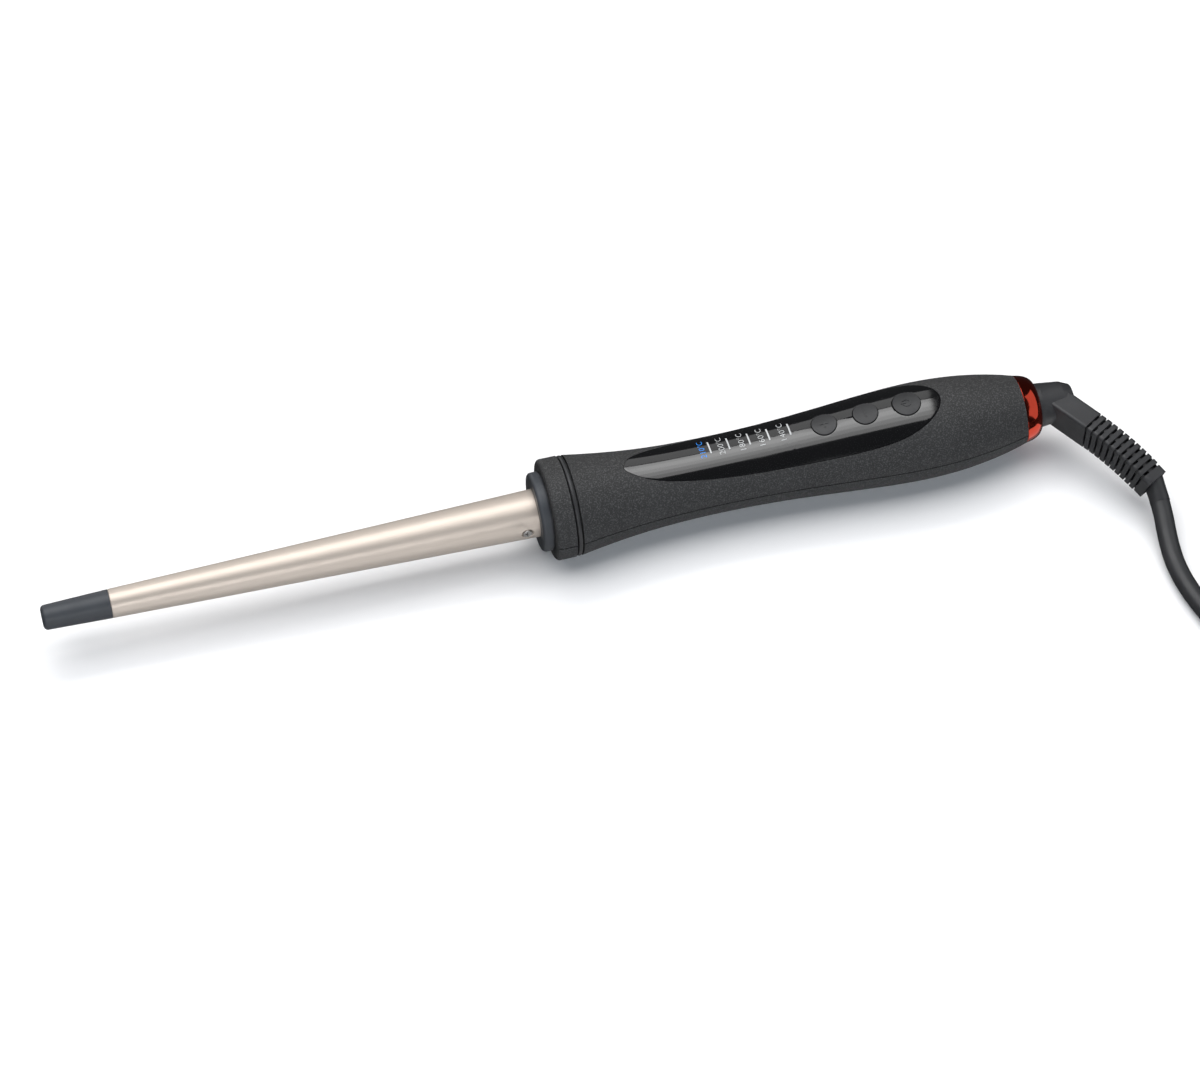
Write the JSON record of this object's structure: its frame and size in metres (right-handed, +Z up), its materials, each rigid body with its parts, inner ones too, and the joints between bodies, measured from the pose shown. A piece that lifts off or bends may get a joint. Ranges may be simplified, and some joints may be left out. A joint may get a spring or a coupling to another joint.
{
  "type": "curling iron",
  "caption": "Conical hair-curling wand with a champagne tapered barrel, dark grip with a glossy control panel and push buttons, and a mains cord on a turning swivel.",
  "frame": {"origin": "on the table, under the middle of the wand between the tip's end and the swivel stub's end, with the cord and its strain relief not counted", "axes": "+X along the wand from the cool tip to the cord, +Z up through the control panel"},
  "size_m": [0.5214, 0.1683, 0.0364],
  "materials": {
    "champagne_metal": "satin, fine lengthwise grain",
    "tip_plastic": "satin, heat-proof",
    "soft_touch_black": "fine spark texture",
    "panel_gloss": "gloss",
    "button_plastic": "satin",
    "red_mirror": "bright",
    "cord_plastic": "satin",
    "screw_steel": "bright",
    "aluminium_blocks": "extruded",
    "ceramic_white": "unglazed",
    "film_amber": "film",
    "board_green": "solder mask",
    "holder_plastic": "moulded",
    "part_black": "moulded",
    "part_yellow": "moulded",
    "frame_white": "moulded",
    "clear_glass": "clear",
    "contact_brass": "bright",
    "pin_metal": "nickel plated",
    "wire_sleeve": "glass braid",
    "wire_red": "satin"
  },
  "bodies": {
    "handle": {"cool_tip": "tip_plastic", "barrel": "champagne_metal", "barrel_screw": "screw_steel", "barrel_holder": "holder_plastic", "heat_collar": "tip_plastic", "heater_strip": "ceramic_white", "insulating_sleeve": "film_amber", "heat_block_upper": "aluminium_blocks", "heat_block_lower": "aluminium_blocks", "thermistor": "clear_glass", "thermal_fuse": "screw_steel", "heater_leads": "wire_sleeve", "sensor_leads": "wire_red", "upper_shell": "soft_touch_black", "lower_shell": "soft_touch_black", "trim_ring": "button_plastic", "control_panel": "panel_gloss", "tact_switches": "screw_steel", "control_board": "board_green", "microcontroller": "part_black", "film_capacitor": "part_yellow", "triac": "part_black", "smoothing_capacitor": "part_black", "mains_fuse": "clear_glass", "indicator_leds": "clear_glass", "light_frame": "frame_white", "shell_screws": "screw_steel", "board_screws": "screw_steel", "tail_ring": "red_mirror", "swivel_socket": "holder_plastic", "contact_springs": "contact_brass", "supply_leads": "wire_red"},
    "plus_key": {"plus_button": "button_plastic", "plus_plunger": "part_black"},
    "minus_key": {"minus_button": "button_plastic", "minus_plunger": "part_black"},
    "power_key": {"power_button": "button_plastic", "power_plunger": "part_black"},
    "cord_swivel": {"swivel_stub": "cord_plastic", "contact_rings": "contact_brass", "retaining_clip": "screw_steel", "strain_relief": "cord_plastic", "cord_lead": "cord_plastic", "cord_coil": "cord_plastic", "cord_tie": "part_black", "cord_tail": "cord_plastic", "plug_body": "cord_plastic", "plug_relief": "cord_plastic", "plug_pins": "pin_metal"}
  },
  "joints": [
    {"name": "plus_press", "type": "slide", "parent": "handle", "child": "plus_key", "axis": [0, 0, -1], "range_m": [0, 0.0003], "stiffness_N_per_m": 3000, "springref_m": -0.0001},
    {"name": "minus_press", "type": "slide", "parent": "handle", "child": "minus_key", "axis": [0, 0, -1], "range_m": [0, 0.0003], "stiffness_N_per_m": 3000, "springref_m": -0.0001},
    {"name": "power_press", "type": "slide", "parent": "handle", "child": "power_key", "axis": [0, 0, -1], "range_m": [0, 0.0003], "stiffness_N_per_m": 3000, "springref_m": -0.0001},
    {"name": "cord_turn", "type": "hinge", "parent": "handle", "child": "cord_swivel", "pos_m": [0.168, 0, 0.0182], "axis": [1, 0, 0], "continuous": true}
  ]
}
